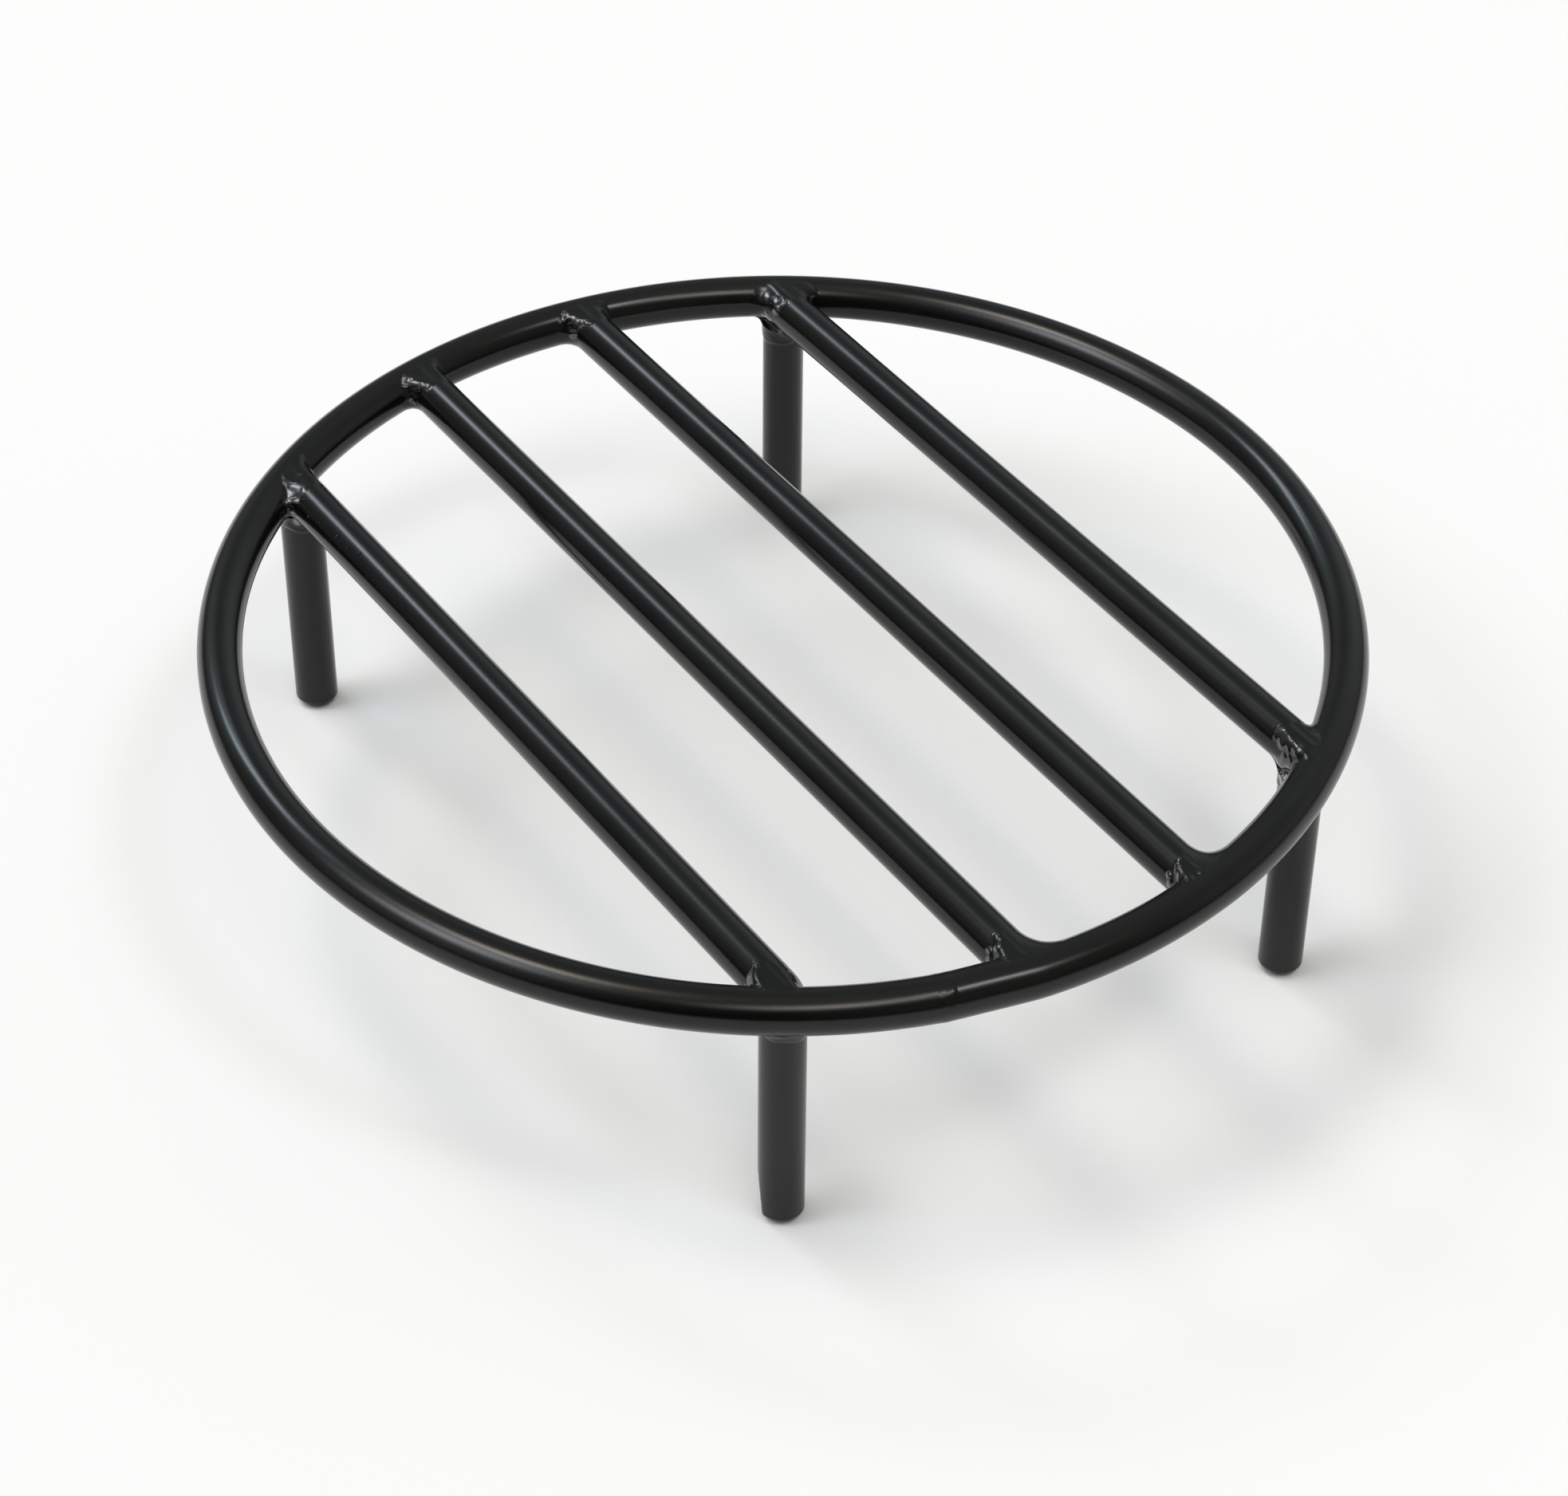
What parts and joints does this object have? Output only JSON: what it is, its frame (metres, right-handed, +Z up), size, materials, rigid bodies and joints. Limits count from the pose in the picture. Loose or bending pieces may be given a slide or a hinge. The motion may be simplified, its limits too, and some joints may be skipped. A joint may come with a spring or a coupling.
{
  "type": "log grate",
  "caption": "Round welded steel grate: a rolled ring crossed by parallel bars, raised on short legs to hold burning logs over a hearth or fire pit floor.",
  "frame": {"origin": "on the floor, at the centre of the four feet and under the centre of the ring", "axes": "+Z up, +Y along the bars towards the rear, +X across the bars to the right"},
  "size_m": [0.3302, 0.3302, 0.0864],
  "materials": {
    "coated_bar": "satin black powder coat on solid round steel bar",
    "coated_weld": "glossier black powder coat on rippled weld metal"
  },
  "bodies": {
    "root": {"ring": "coated_bar", "ring_seam_weld": "coated_weld", "bar_left_outer": "coated_bar", "bar_left_inner": "coated_bar", "bar_right_inner": "coated_bar", "bar_right_outer": "coated_bar", "leg_rear_left": "coated_bar", "leg_front_left": "coated_bar", "leg_rear_right": "coated_bar", "leg_front_right": "coated_bar", "weld_rear_left_outer": "coated_weld", "weld_rear_left_inner": "coated_weld", "weld_rear_right_inner": "coated_weld", "weld_rear_right_outer": "coated_weld", "weld_front_left_outer": "coated_weld", "weld_front_left_inner": "coated_weld", "weld_front_right_inner": "coated_weld", "weld_front_right_outer": "coated_weld", "leg_weld_rear_left": "coated_weld", "leg_weld_front_left": "coated_weld", "leg_weld_rear_right": "coated_weld", "leg_weld_front_right": "coated_weld"}
  },
  "joints": []
}
